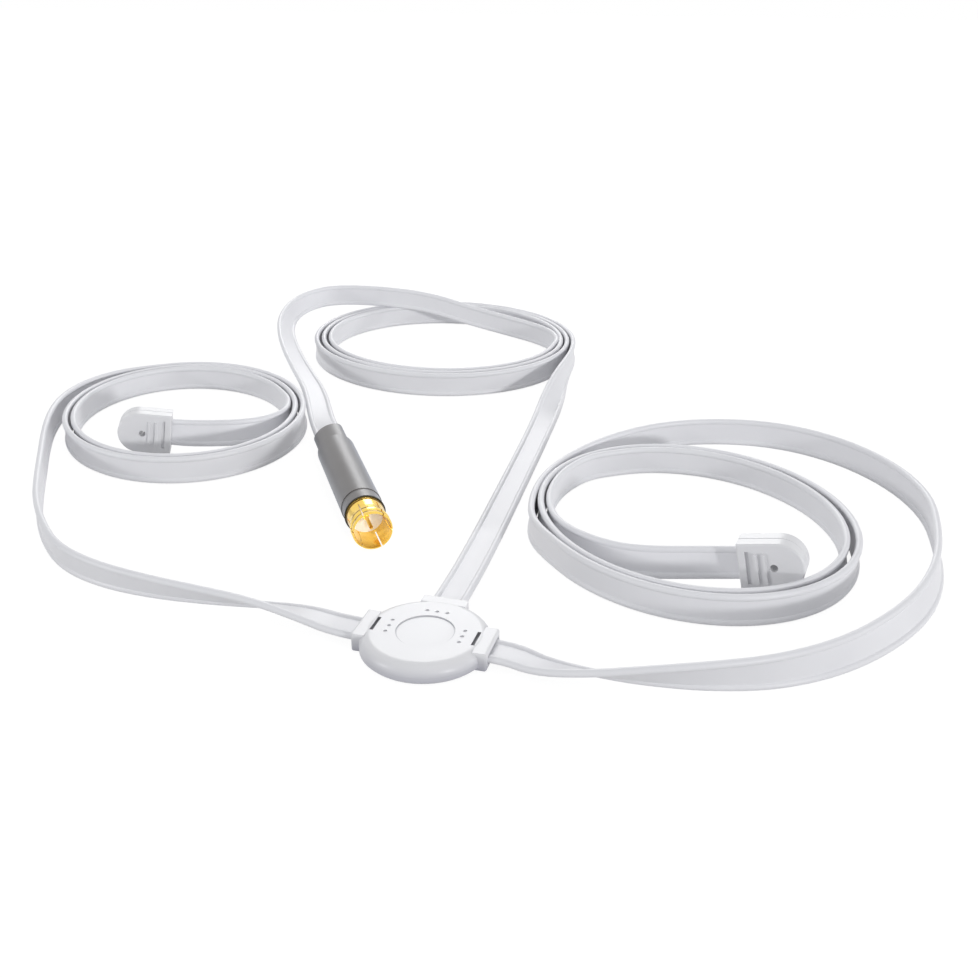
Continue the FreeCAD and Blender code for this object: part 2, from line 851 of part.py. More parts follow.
def ribbon_solid(name, points, up_side):
    """Return a ribbon's solid along its route.

    A point is (x, y, lift of the lowest edge, lean, rise); the lean is 0 for a flat ribbon and 90 for
    one on edge, and past 90 it falls on over. The rise is the slope of the run, 0 where left out.
    up_side is 1 where the edge on the left of travel rises, -1 where the right one does.
    """
    half_width = size.ribbon_width.value / 2
    half_thick = size.ribbon_thick.value / 2
    stations, radii = plan_stations(points)
    wires = []
    for x, y, heading, travelled, lift, lean, rise in stations:
        lean = math.radians(lean)
        across = FreeCAD.Vector(-math.sin(heading) * math.cos(lean) * up_side,
                                math.cos(heading) * math.cos(lean) * up_side, math.sin(lean))
        along = FreeCAD.Vector(math.cos(heading), math.sin(heading), 0)
        slope = FreeCAD.Rotation(FreeCAD.Vector(math.sin(heading), -math.cos(heading), 0), rise)
        along, across = slope.multVec(along), slope.multVec(across)
        normal = along.cross(across)
        height = lift + abs(across.z) * half_width + abs(normal.z) * half_thick
        middle = FreeCAD.Vector(x, y, height)
        corners = [middle + across * (half_width * u) + normal * (half_thick * v)
                   for u, v in ((1, 1), (-1, 1), (-1, -1), (1, -1))]
        wires.append(Part.makePolygon(corners + corners[:1]))
    solid = Part.makeLoft(wires, True, True)
    length = stations[-1][3]
    print("%s: length %.0f, tightest arc %.1f, volume share %.3f, lowest %.2f" % (
        name, length, min(radii), solid.Volume / (length * half_width * half_thick * 4), solid.BoundBox.ZMin))
    return solid


def feature(name, shape):
    """Keep a shape made by code as one node."""
    item = doc.addObject("Part::Feature", name)
    item.Label = name
    item.Shape = shape
    item.Placement = FreeCAD.Placement()
    return item


def on_edge(points):
    """Return plan points as a ribbon on edge on the table."""
    return [(x, y, 0, 90) for x, y in points]


def cap_way(side, run):
    """Return the last two route points of an arm: before its cap and at its end inside the cap."""
    turn = math.radians(getattr(size, side + "_cap_turn").value)
    rise = getattr(size, side + "_cap_rise").value
    up, out = math.sin(math.radians(rise)), math.cos(math.radians(rise))
    x, y = getattr(size, side + "_cap_x").value, getattr(size, side + "_cap_y").value
    middle, half = size.cap_height.value / 2, size.ribbon_width.value / 2
    points = []
    for place in (-run, size.cap_grip.value):
        away = place * out - middle * up
        lift = place * up + (middle - half) * out
        points.append((x + away * math.cos(turn), y + away * math.sin(turn), lift, 90, rise))
    return points


def left_arm():
    """The left arm: out of the hub, up on edge, into its coil and on to its cap."""
    coil = Coil("left", clockwise=True)
    level = size.ribbon_level.value - size.ribbon_thick.value / 2
    grip = size.hub_grip.value
    lead = [(-grip, 0, level, 0), (-grip - 10.5, 0, level, 0), (-28.5, 0.7, 0.7, 10), (-41, 1.6, 0.1, 38),
            (-54.5, 2, 0, 61), (-68.5, 2.2, 0, 75), (-82.5, 4, 0, 84)]
    lead += on_edge([(-95.5, 8.8), (-107.5, 18), (-118.5, 29.2), (-127.5, 42), (-136, 56), (-144, 70),
                     (-151, 84), (-155.3, 97.5), (-156.2, 110), coil.before(14), coil.point(0)])
    tail = on_edge([coil.point(coil.turns), coil.after(6), (-83, 106), (-84.6, 98.6)])
    tail += [(-90.4, 91.8, 0.1, 90)] + cap_way("left", 6.5)
    return [feature("left_arm_lead", ribbon_solid("left_arm_lead", lead, 1)),
            feature("left_arm_coil", coil.solid()),
            feature("left_arm_tail", ribbon_solid("left_arm_tail", tail, 1))]


def right_arm():
    """The right arm: out of the hub, up on edge, once round outside, into its coil and to its cap."""
    coil = Coil("right", clockwise=False)
    level = size.ribbon_level.value - size.ribbon_thick.value / 2
    grip = size.hub_grip.value
    lead = [(grip, 0, level, 0), (grip + 10.5, 0, level, 0), (28, -1.2, 0.7, 6), (38, -2.4, 0.1, 32),
            (49, -2.8, 0, 58), (61, -0.8, 0, 73), (73.5, 3.8, 0, 83)]
    lead += on_edge([(86, 12.8), (96.3, 26), (104.2, 41), (108, 58.5), (107.8, 76), (104.5, 94), (95.5, 111),
                     (81.5, 125), (64.5, 132.5), (46.5, 131.5), (30.5, 123), (18.5, 109.5), (10.3, 94.8),
                     (6.3, 80.5), (6.2, 67), coil.before(13), coil.point(0)])
    tail = on_edge([coil.point(coil.turns), coil.after(7), (13.5, 86.5), (11.9, 77), (12.7, 65.5), (17, 54)])
    tail += [(25, 46, 0, 90), (37, 42.2, 0, 90)] + cap_way("right", 8)
    return [feature("right_arm_lead", ribbon_solid("right_arm_lead", lead, -1)),
            feature("right_arm_coil", coil.solid()),
            feature("right_arm_tail", ribbon_solid("right_arm_tail", tail, -1))]


def feeder():
    """The feeder: flat along the table, up on edge, into its coil, over its turns and to the plug."""
    coil = Coil("feeder", clockwise=False)
    level = size.ribbon_level.value - size.ribbon_thick.value / 2
    grip = size.hub_grip.value
    lead = [(0, grip, level, 0), (0, grip + 10.5, level, 0), (-0.6, 32, 0.3, 0), (-1.6, 54, 0, 0),
            (-3.3, 84, 0, 0), (-5.2, 112, 0, 0), (-6.9, 136, 0, 5), (-8.1, 152, 0, 30), (-8.8, 167, 0, 66),
            coil.before(13) + (0, 88), coil.point(0) + (0, 90)]
    over = size.ribbon_width.value + 0.15
    lean = size.plug_roll.value
    turn = math.radians(size.plug_turn.value)
    x, y = size.plug_x.value, size.plug_y.value
    low = size.sleeve_radius.value - size.ribbon_width.value / 2 * math.sin(math.radians(lean))
    low -= size.ribbon_thick.value / 2 * math.cos(math.radians(lean))
    end = size.plug_grip.value
    tail = [coil.point(coil.turns) + (0, 90), coil.after(6) + (0, 90), (-22.3, 207.5, 0, 90),
            (-30, 213.5, 0.4, 90), (-42, 218, 1.6, 90), (-57, 220.5, 4.4, 90), (-73, 220.8, over - 0.6, 90),
            (-88.5, 219.5, over, 90), (-104, 218, over, 90), (-115, 213.5, over, 90),
            (-121.8, 205.2, over - 0.2, 95), (-123, 194.5, 7.4, 112), (-118.5, 181.5, 6.6, 140),
            (-110.5, 169, 5.8, 156), (-101.5, 156.5, 5.2, 165), (-91.5, 143.5, 4.6, 174),
            (-80.6, 128.3, 4, 190),
            (x - 12 * math.cos(turn), y - 12 * math.sin(turn), low, 180 + lean),
            (x + end * math.cos(turn), y + end * math.sin(turn), low, 180 + lean)]
    return [feature("feeder_lead", ribbon_solid("feeder_lead", lead, 1)),
            feature("feeder_coil", coil.solid()),
            feature("feeder_tail", ribbon_solid("feeder_tail", tail, 1))]


# All nodes


def end_cap(side, viewer):
    """Return a cap's two halves and its link; viewer is the side of the half towards the viewer."""
    front = cap_half(side + "_cap_front", viewer)
    rear = cap_half(side + "_cap_rear", -viewer)
    link = shorting_link(side + "_shorting_link")
    middle = (size.cap_grip, -size.link_thick / 2, size.cap_height / 2 - size.link_tall / 2)
    return [set_place(front, side), set_place(rear, side), set_place(link, side, middle)]


def plug():
    """Return the plug's pieces in their place."""
    pieces = [connector_sleeve(), connector_shell(), connector_insulator(), centre_pin(),
              balun_core(), balun_winding(), balun_leads()]
    for piece in pieces:
        piece.Placement = plug_spot()
    return pieces


def main():
    """Build every node, check it and write its file."""
    nodes = [hub_top_shell(), hub_bottom_shell(), junction_board(), solder_joints()]
    nodes += left_arm() + right_arm() + feeder()
    nodes += end_cap("left", 1) + end_cap("right", -1)
    nodes += plug()
    doc.recompute()
    for item in doc.Objects:
        if "Invalid" in item.State or "Error" in item.State:
            raise ValueError("%s does not build" % item.Label)
    os.makedirs("parts", exist_ok=True)
    for node in nodes:
        shape = node.Shape
        if shape.isNull() or not shape.isValid() or not shape.Solids:
            raise ValueError("%s has no sound solid" % node.Label)
        shape.exportStep("parts/%s.step" % node.Label)
        print("%s: %d solids, %.1f cubic mm" % (node.Label, len(shape.Solids), shape.Volume))


main()
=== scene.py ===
"""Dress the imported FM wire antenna: ribbons, finishes, stage, light and camera.

Metres, in the CAD part's frame: the origin is the middle of the hub's underside, +X is the right
arm's exit, +Y the feeder's exit and +Z up. Routes are written in millimetres, as on a drawing.
"""
from __future__ import annotations

import logging
import math
from dataclasses import dataclass, field
from enum import Enum
from typing import NamedTuple

import bpy
from mathutils import Euler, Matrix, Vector

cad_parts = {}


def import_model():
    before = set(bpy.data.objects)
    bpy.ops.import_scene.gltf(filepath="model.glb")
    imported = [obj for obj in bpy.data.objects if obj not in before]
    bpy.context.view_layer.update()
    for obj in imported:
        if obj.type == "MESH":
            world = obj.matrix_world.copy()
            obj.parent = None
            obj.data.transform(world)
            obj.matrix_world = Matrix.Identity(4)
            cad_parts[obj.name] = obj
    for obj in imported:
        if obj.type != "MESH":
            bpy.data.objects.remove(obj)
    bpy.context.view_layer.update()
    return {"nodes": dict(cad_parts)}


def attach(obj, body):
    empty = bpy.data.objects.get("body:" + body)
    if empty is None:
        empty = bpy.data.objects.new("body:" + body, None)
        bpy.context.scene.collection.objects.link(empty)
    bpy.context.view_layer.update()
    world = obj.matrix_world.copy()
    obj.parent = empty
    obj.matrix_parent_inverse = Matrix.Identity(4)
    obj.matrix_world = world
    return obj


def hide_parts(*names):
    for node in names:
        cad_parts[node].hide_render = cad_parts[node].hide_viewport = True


LOG = logging.getLogger("fm_wire_antenna")
ROOT = "root"
MM = 0.001
FULL_TURN = 360.0
QUARTER_TURN = 90.0

# Millimetres and degrees; a lean is the ribbon's turn about its own line.
RIBBON_WIDTH = 8.0
RIBBON_THICK = 1.75
FLAT = 0.0
UPRIGHT = 90.0
TURNED_OVER = 180.0
PLUG_PLACE = (-63.2, 95.48)
PLUG_TURN = -57.34
PLUG_HEIGHT = 5.4

# Sockets of the Mix node when it mixes colours.
MIX_SHARE, MIX_LOW, MIX_HIGH = 0, 6, 7
MIX_RESULT = 2

Plan = tuple[float, float]
Place = tuple[float, float, float]
Color = tuple[float, float, float]
Nodes = dict[str, bpy.types.Object]
WHITE: Color = (1.0, 1.0, 1.0)


def opaque(color: Color) -> tuple[float, float, float, float]:
    """Return a colour with its alpha."""
    return (*color, 1.0)


def put(name: str, data: bpy.types.ID) -> bpy.types.Object:
    """Add an object to the scene.

    Args:
        name: The object's name.
        data: Its curve, light or camera.

    Returns:
        The object.
    """
    item = bpy.data.objects.new(name, data)
    bpy.context.scene.collection.objects.link(item)
    return item


class Socket:
    """A shader output that can be used in arithmetic."""

    def __init__(self, graph: Graph, output: bpy.types.NodeSocket) -> None:
        """Wrap one output of one node.

        Args:
            graph: The node tree that the output is in.
            output: The output.
        """
        self.graph = graph
        self.output = output

    def _math(self, operation: str, other: Socket | float) -> Socket:
        """Return a maths node's result on this output and another value."""
        return self.graph.math(operation, self, other)

    def __add__(self, other: Socket | float) -> Socket:
        """Return the sum."""
        return self._math("ADD", other)

    def __sub__(self, other: Socket | float) -> Socket:
        """Return the difference."""
        return self._math("SUBTRACT", other)

    def __mul__(self, other: Socket | float) -> Socket:
        """Return the product."""
        return self._math("MULTIPLY", other)

    def __truediv__(self, other: Socket | float) -> Socket:
        """Return the quotient."""
        return self._math("DIVIDE", other)

    def __abs__(self) -> Socket:
        """Return the size without its sign."""
        return self._math("ABSOLUTE", 0.0)

    def __lt__(self, other: Socket | float) -> Socket:
        """Return 1 where this is the smaller value, else 0."""
        return self._math("LESS_THAN", other)

    def __gt__(self, other: Socket | float) -> Socket:
        """Return 1 where this is the larger value, else 0."""
        return self._math("GREATER_THAN", other)

    def fade(self, start: float, end: float) -> Socket:
        """Return how far this is from a start value to an end value.

        Args:
            start: The value up to which the result is 0.
            end: The value from which it is 1.

        Returns:
            The share, even between the two values.
        """
        node = self.graph.add("ShaderNodeMapRange")
        self.graph.fill(node, {"Value": self, "From Min": start, "From Max": end})
        return Socket(self.graph, node.outputs["Result"])

    def near(self, value: float, reach: float) -> Socket:
        """Return 1 within some reach of a value, else 0."""
        return abs(self - value) < reach

    def mix(self, low: Socket | Color, high: Socket | Color) -> Socket:
        """Return the colour between two colours at this output's value.

        Args:
            low: The colour at 0.
            high: The colour at 1.

        Returns:
            The mixed colour.
        """
        node = self.graph.add("ShaderNodeMix", data_type="RGBA")
        self.graph.feed(node.inputs[MIX_SHARE], self)
        for index, color in ((MIX_LOW, low), (MIX_HIGH, high)):
            value = color if isinstance(color, Socket) else opaque(color)
            self.graph.feed(node.inputs[index], value)
        return Socket(self.graph, node.outputs[MIX_RESULT])


class Graph:
    """The node tree of a material or of the world."""

    def __init__(self, tree: bpy.types.NodeTree) -> None:
        """Take a node tree.

        Args:
            tree: The tree that nodes are added to.
        """
        self.tree = tree

    def add(self, kind: str, **settings: object) -> bpy.types.Node:
        """Add a node.

        Args:
            kind: The node's type name.
            **settings: Properties to set on it.

        Returns:
            The node.
        """
        node = self.tree.nodes.new(kind)
        for key, value in settings.items():
            setattr(node, key, value)
        return node

    def feed(self, target: bpy.types.NodeSocket, value: Socket | float | tuple) -> None:
        """Link an output to an input, or set the input to a value.

        Args:
            target: The input.
            value: The output or the value.
        """
        if isinstance(value, Socket):
            self.tree.links.new(value.output, target)
        else:
            target.default_value = value

    def fill(self, node: bpy.types.Node, values: dict[str, Socket | float | tuple]) -> None:
        """Link or set several of a node's inputs.

        Args:
            node: The node.
            values: What goes into each input, by the input's name.
        """
        for name, value in values.items():
            self.feed(node.inputs[name], value)

    def math(self, operation: str, first: Socket, second: Socket | float = 0.0) -> Socket:
        """Add a maths node.

        Args:
            operation: The node's operation.
            first: Its first input.
            second: Its second input.

        Returns:
            Its result.
        """
        node = self.add("ShaderNodeMath", operation=operation)
        self.feed(node.inputs[0], first)
        self.feed(node.inputs[1], second)
        return Socket(self, node.outputs[0])

    def seen_white(self) -> Socket:
        """Tell the rays that see the white background from the rest.

        Returns:
            1 for camera, glossy and transmission rays, else 0.
        """
        path = self.add("ShaderNodeLightPath").outputs
        seen = Socket(self, path["Is Camera Ray"])
        for name in ("Is Glossy Ray", "Is Transmission Ray"):
            seen = self.math("MAXIMUM", seen, Socket(self, path[name]))
        return seen

    def blend(self, share: Socket, low: bpy.types.Node, high: bpy.types.Node, output: str) -> None:
        """Show a mix of two shaders.

        Args:
            share: How much of the second shader shows.
            low: The first shader's node.
            high: The second shader's node.
            output: The name of the tree's output node.
        """
        node = self.add("ShaderNodeMixShader")
        shaders = [Socket(self, shader.outputs[0]) for shader in (low, high)]
        for target, value in zip(node.inputs, (share, *shaders)):
            self.feed(target, value)
        self.fill(self.tree.nodes[output], {"Surface": Socket(self, node.outputs[0])})


class MaterialGraph(Graph):
    """The node tree of one material with a principled shader."""

    def __init__(self, name: str) -> None:
        """Make the material.

        Args:
            name: The material's name.
        """
        self.material = bpy.data.materials.new(name)
        self.material.use_nodes = True
        super().__init__(self.material.node_tree)
        self.shader = self.tree.nodes["Principled BSDF"]

    def place(self) -> Socket:
        """Return the surface point in the object's own coordinates."""
        return Socket(self, self.add("ShaderNodeTexCoord").outputs["Object"])

    def axes(self) -> tuple[Socket, Socket, Socket]:
        """Split the surface point into its coordinates.

        Returns:
            Its x, y and z in millimetres.
        """
        node = self.add("ShaderNodeSeparateXYZ")
        self.feed(node.inputs[0], self.place())
        x, y, z = (Socket(self, output) / MM for output in node.outputs)
        return x, y, z

    def noise(self, scale: float) -> Socket:
        """Return soft noise over the object's own coordinates.

        Args:
            scale: Waves for each metre.

        Returns:
            The noise, from 0 to 1.
        """
        node = self.add("ShaderNodeTexNoise")
        self.fill(node, {"Vector": self.place(), "Scale": scale})
        return Socket(self, node.outputs["Fac"])

    def bump(self, height: Socket, distance: float, strength: float) -> Socket:
        """Return the surface's normal, roughened by a height.

        Args:
            height: The height's pattern.
            distance: The height of 1, in metres.
            strength: How much of it shows.

        Returns:
            The normal.
        """
        node = self.add("ShaderNodeBump")
        self.fill(node, {"Distance": distance, "Strength": strength, "Height": height})
        return Socket(self, node.outputs["Normal"])


@dataclass(frozen=True)
class Finish:
    """A colour with a faint cloudiness, in waves for each metre."""

    name: str
    dark: Color
    light: Color
    cloud: float = field(default=90.0, kw_only=True)

    def color(self, graph: MaterialGraph) -> Socket:
        """Return the colour over the surface."""
        return graph.noise(self.cloud).mix(self.dark, self.light)

    def surface(self, graph: MaterialGraph) -> dict[str, Socket | float | tuple]:
        """Return what goes into the shader's other inputs, by name."""
        raise NotImplementedError

    def material(self) -> bpy.types.Material:
        """Make the finish's material.

        Returns:
            The material.
        """
        graph = MaterialGraph(self.name)
        graph.fill(graph.shader, {"Base Color": self.color(graph), **self.surface(graph)})
        return graph.material


@dataclass(frozen=True)
class PlasticFinish(Finish):
    """A plain plastic with a faint grain, in waves for each metre and metres of height."""

    roughness: float
    coat: float = 0.0
    coat_roughness: float = 0.12
    sheen: float = 0.0
    sheen_roughness: float = 0.3
    sheen_tint: Color = (0.8, 0.86, 1.0)
    grain: float = 1400.0
    grain_height: float = 0.00001
    grain_strength: float = 0.3

    def surface(self, graph: MaterialGraph) -> dict[str, Socket | float | tuple]:
        """Return what goes into the shader's other inputs.

        Args:
            graph: The material's node tree.

        Returns:
            Each input's output or value, by the input's name.
        """
        grain = graph.noise(self.grain)
        return {
            "Roughness": self.roughness,
            "Coat Weight": self.coat,
            "Coat Roughness": self.coat_roughness,
            "Sheen Weight": self.sheen,
            "Sheen Roughness": self.sheen_roughness,
            "Sheen Tint": opaque(self.sheen_tint),
            "Normal": graph.bump(grain, self.grain_height, self.grain_strength),
        }


@dataclass(frozen=True)
class HubFinish(PlasticFinish):
    """The hub's plastic with painted shade: greyer downwards and in its recesses and slits; greyer
    along its seam too; in millimetres.
    """

    top: float = 4.4
    sunk: float = 0.02
    rim: float = 0.4
    foot: float = 0.3
    badge_radius: float = 6.4
    badge_reach: float = 0.3
    dimple_radius: float = 8.6
    dimple_reach: float = 1.2
    slit_place: float = 11.3
    slit_half_width: float = 0.46
    slit_half_length: float = 2.76
    seam: float = 1.7
    seam_half: float = 0.07
    # Painted shade: the lower side, the badge's wall, the dimples and the slits.
    lower: Color = (0.5, 0.5, 0.56)
    painted_recess_shade: Color = (0.6, 0.6, 0.63)
    painted_dimple_shade: Color = (0.78, 0.78, 0.8)
    painted_slit_shade: Color = (0.4, 0.4, 0.42)
    seam_shade: Color = (0.6, 0.6, 0.64)

    def color(self, graph: MaterialGraph) -> Socket:
        """Paint shade downwards and into the plastic's recesses and slits, and grey the seam.

        Args:
            graph: The material's node tree.

        Returns:
            The colour.
        """
        x, y, z = graph.axes()
        radius = graph.math("SQRT", x * x + y * y)
        sunk = z < self.top - self.sunk
        # Where the painted shade goes: the badge's wall, the dimples and the slits.
        wall = sunk * radius.near(self.badge_radius, self.badge_reach)
        dimples = sunk * radius.near(self.dimple_radius, self.dimple_reach)
        slits = sunk * abs(x).near(self.slit_place, self.slit_half_width)
        slits = slits * (abs(y) < self.slit_half_length)
        seam = z.near(self.seam, self.seam_half)
        # Painted shade, darker downwards, then in the recesses and slits; the seam gets a grey
        # line.
        color = z.fade(self.top - self.rim, self.foot).mix(super().color(graph), self.lower)
        for share, shade in ((wall, self.painted_recess_shade), (dimples, self.painted_dimple_shade), (slits, self.painted_slit_shade),
                             (seam, self.seam_shade)):
            color = share.mix(color, shade)
        return color


@dataclass(frozen=True)
class MetalFinish(Finish):
    """A plated metal with slightly uneven polish."""

    smooth: float
    rough: float
    metallic: float = 1.0
    cloud: float = field(default=300.0, kw_only=True)

    def surface(self, graph: MaterialGraph) -> dict[str, Socket | float | tuple]:
        """Return what goes into the shader's other inputs, by name."""
        polish = graph.noise(self.cloud) * (self.rough - self.smooth) + self.smooth
        return {"Roughness": polish, "Metallic": self.metallic}


@dataclass(frozen=True)
class ShellFinish(MetalFinish):
    """The plug's plated shell, with painted shade outside in the hollows of its foot, bead and lip.

    The rings are places along the plug, in millimetres, as are their half width and the radius
    from which a place is outside.
    """

    rings: tuple[float, ...] = (58.3, 63.05, 65.5)
    ring_half: float = 0.26
    painted_ring_shade: Color = (0.18, 0.08, 0.0)
    skin: float = 4.68

    def color(self, graph: MaterialGraph) -> Socket:
        """Paint shade into the metal's rings.

        Args:
            graph: The material's node tree.

        Returns:
            The colour.
        """
        x, y, z = graph.axes()
        x, y, z = x - PLUG_PLACE[0], y - PLUG_PLACE[1], z - PLUG_HEIGHT
        turn = math.radians(PLUG_TURN)
        along = x * math.cos(turn) + y * math.sin(turn)
        across = y * math.cos(turn) - x * math.sin(turn)
        outside = (across * across + z * z) > self.skin ** 2
        shade = super().color(graph)
        # Painted shade: a dark band at each ring, on the outside only.
        for place in self.rings:
            shade = (along.near(place, self.ring_half) * outside).mix(shade, self.painted_ring_shade)
        return shade


class Finishes(Enum):
    """The antenna's finishes."""

    HUB = HubFinish("hub_plastic", (0.82, 0.82, 0.84), (0.86, 0.86, 0.875), roughness=0.36)
    CAP = PlasticFinish("cap_plastic", (0.78, 0.78, 0.8), (0.83, 0.83, 0.845), roughness=0.34)
    RIBBON = PlasticFinish("ribbon", (0.83, 0.83, 0.86), (0.88, 0.88, 0.905), roughness=0.42)
    SLEEVE = PlasticFinish("sleeve", (0.105, 0.096, 0.09), (0.15, 0.137, 0.128), roughness=0.45,
                           coat=0.4, coat_roughness=0.4, sheen=0.9)
    BLACK_RING = PlasticFinish("black_ring", (0.012, 0.011, 0.01), (0.02, 0.019, 0.018), roughness=0.45)
    INSULATOR = PlasticFinish("insulator", (0.9, 0.93, 0.98), (0.94, 0.97, 1.0), roughness=0.5)
    BOARD = PlasticFinish("board", (0.02, 0.08, 0.03), (0.03, 0.11, 0.045), roughness=0.5)
    FERRITE = PlasticFinish("ferrite", (0.02, 0.02, 0.02), (0.035, 0.035, 0.035), roughness=0.6)
    GOLD = ShellFinish("gold", (0.93, 0.62, 0.1), (1.0, 0.7, 0.15), smooth=0.12, rough=0.22,
                       metallic=0.8)
    SOLDER = MetalFinish("solder", (0.6, 0.6, 0.61), (0.72, 0.72, 0.73), smooth=0.25, rough=0.4)
    COPPER = MetalFinish("copper", (0.55, 0.22, 0.1), (0.66, 0.3, 0.15), smooth=0.25, rough=0.4)


class Palette:
    """Each finish's material, made once."""

    def __init__(self) -> None:
        """Make every material."""
        self.materials = {finish: finish.value.material() for finish in Finishes}

    def dress(self, item: bpy.types.Object, finish: Finishes) -> None:
        """Give an object one finish in all its slots.

        Args:
            item: A CAD node's object or a new piece.
            finish: The finish.
        """
        if not item.material_slots:
            item.data.materials.append(self.materials[finish])
        for slot in item.material_slots:
            slot.material = self.materials[finish]
        LOG.info("%s: finish %s", item.name, finish.value.name)

    def dress_nodes(self, nodes: Nodes, finishes: dict[str, Finishes]) -> None:
        """Give CAD nodes their finishes.

        Args:
            nodes: The CAD nodes' objects by name.
            finishes: The finish of each node's name.
        """
        for name, finish in finishes.items():
            self.dress(nodes[name], finish)


def half_height(lean: float) -> float:
    """Return half the height of a ribbon that leans by some degrees from flat."""
    turn = math.radians(lean)
    return (abs(math.sin(turn)) * RIBBON_WIDTH + abs(math.cos(turn)) * RIBBON_THICK) / 2


class RoutePoint(NamedTuple):
    """A ribbon's control point; the lift is from the table to the ribbon's lower side."""

    x: float
    y: float
    lift: float
    lean: float

    def middle(self) -> float:
        """Return the height of the ribbon's middle."""
        return self.lift + half_height(self.lean)


def leaning(*points: tuple[float, float, float, float]) -> list[RoutePoint]:
    """Return control points, each from its plan point, lift and lean."""
    return [RoutePoint(*point) for point in points]


def on_edge(*points: Plan) -> list[RoutePoint]:
    """Return plan points as a ribbon on edge on the table."""
    return [RoutePoint(x, y, 0.0, UPRIGHT) for x, y in points]


@dataclass(frozen=True)
class Coil:
    """A flat coil of ribbon on edge: an oval that shrinks by one pitch and drifts each turn."""

    centre: Plan
    long: float
    short: float
    tilt: float
    start: float
    turns: float
    way: int
    pitch: float
    drift: Plan = (0.0, 0.0)
    steps: int = 24

    def point(self, turn: float) -> Plan:
        """Find the ribbon's middle after some turns.

        Args:
            turn: The number of turns from the start.

        Returns:
            The plan point.
        """
        angle = math.radians(self.start + self.way * FULL_TURN * turn)
        tilt = math.radians(self.tilt)
        x = (self.long - self.pitch * turn) * math.cos(angle)
        y = (self.short - self.pitch * turn) * math.sin(angle)
        return (self.centre[0] + self.drift[0] * turn + x * math.cos(tilt) - y * math.sin(tilt),
                self.centre[1] + self.drift[1] * turn + x * math.sin(tilt) + y * math.cos(tilt))

    def heading(self, turn: float) -> Plan:
        """Find the ribbon's direction after some turns.

        Args:
            turn: The number of turns from the start.

        Returns:
            The direction, of length 1.
        """
        turned = self.way * (FULL_TURN * turn + QUARTER_TURN)
        angle = math.radians(self.start + turned + self.tilt)
        return (math.cos(angle), math.sin(angle))

    def before(self, run: float) -> Plan:
        """Return the plan point one run before the coil, on its straight way in."""
        (x, y), (dx, dy) = self.point(0.0), self.heading(0.0)
        return (x - dx * run, y - dy * run)

    def after(self, run: float) -> Plan:
        """Return the plan point one run after the coil, on its straight way out."""
        (x, y), (dx, dy) = self.point(self.turns), self.heading(self.turns)
        return (x + dx * run, y + dy * run)

    def points(self) -> list[RoutePoint]:
        """Return the coil's control points from its first to its last turn."""
        count = round(self.turns * self.steps)
        return on_edge(*(self.point(step / self.steps) for step in range(count + 1)))


@dataclass
class Ribbon:
    """One flat twin-lead cable, from the hub to its cap or plug."""

    name: str
    lead: list[RoutePoint]
    coil: Coil
    tail: list[RoutePoint]
    up_side: int
    exit: Place
    far_end: str
    on_it: list[str]
    nodes: list[str]
    width: float = RIBBON_WIDTH
    thick: float = RIBBON_THICK
    web: float = 0.85
    order: int = 3
    resolution: int = 5
    bead_steps: int = 12
    smooth_angle: float = 40.0
    path: list[Place] = field(default_factory=list)

    def route(self) -> list[RoutePoint]:
        """Return all control points from end to end."""
        return self.lead + self.coil.points() + self.tail

    def outline(self) -> list[Plan]:
        """Draw the cross-section: two round beads joined by a thinner web.

        Returns:
            The outline's points in order.
        """
        radius = self.thick / 2
        middle = self.width / 2 - radius
        web = math.asin(self.web / self.thick)
        points = []
        for side in (1, -1):
            for step in range(self.bead_steps + 1):
                angle = (web - math.pi) + (2 * math.pi - 2 * web) * step / self.bead_steps
                points.append((side * (middle + radius * math.cos(angle)),
                               side * radius * math.sin(angle)))
        return points

    def profile(self) -> bpy.types.Object:
        """Add the cross-section as a curve.

        Returns:
            The closed curve.
        """
        outline = self.outline()
        curve = bpy.data.curves.new(self.name + "_profile", "CURVE")
        curve.dimensions = "2D"
        spline = curve.splines.new("POLY")
        spline.points.add(len(outline) - 1)
        for point, (x, y) in zip(spline.points, outline):
            point.co = (x * MM, y * MM, 0.0, 1.0)
        spline.use_cyclic_u = True
        return put(curve.name, curve)

    def line(self) -> bpy.types.Object:
        """Add the route's smooth line, with the ribbon's lean as its tilt.

        Returns:
            The curve.
        """
        route = self.route()
        curve = bpy.data.curves.new(self.name, "CURVE")
        curve.dimensions = "3D"
        curve.twist_mode = "Z_UP"
        curve.resolution_u = self.resolution
        spline = curve.splines.new("NURBS")
        spline.points.add(len(route) - 1)
        for point, place in zip(spline.points, route):
            point.co = (place.x * MM, place.y * MM, place.middle() * MM, 1.0)
            point.tilt = math.radians(place.lean) * self.up_side
        spline.order_u = self.order
        spline.use_endpoint_u = True
        spline.use_smooth = True
        return put(self.name, curve)

    def build(self, palette: Palette) -> bpy.types.Object:
        """Args:
            palette: The materials.

        Returns:
            The ribbon's mesh.
        """
        item = self.line()
        bpy.context.view_layer.update()
        thread = bpy.data.meshes.new_from_object(item)
        self.path = [tuple(vertex.co) for vertex in thread.vertices]
        profile = self.profile()
        item.data.bevel_mode = "OBJECT"
        item.data.bevel_object = profile
        item.data.use_fill_caps = True
        bpy.ops.object.select_all(action="DESELECT")
        item.select_set(True)
        bpy.context.view_layer.objects.active = item
        bpy.ops.object.convert(target="MESH")
        bpy.data.objects.remove(profile)
        bpy.ops.object.shade_smooth_by_angle(angle=math.radians(self.smooth_angle))
        palette.dress(item, Finishes.RIBBON)
        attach(item, ROOT)
        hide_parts(*self.nodes)
        tuple(value * MM for value in self.exit)
        self.width * MM
        return item

    def length(self) -> float:
        """Return the length of the line in metres."""
        return sum((Vector(b) - Vector(a)).length for a, b in zip(self.path, self.path[1:]))


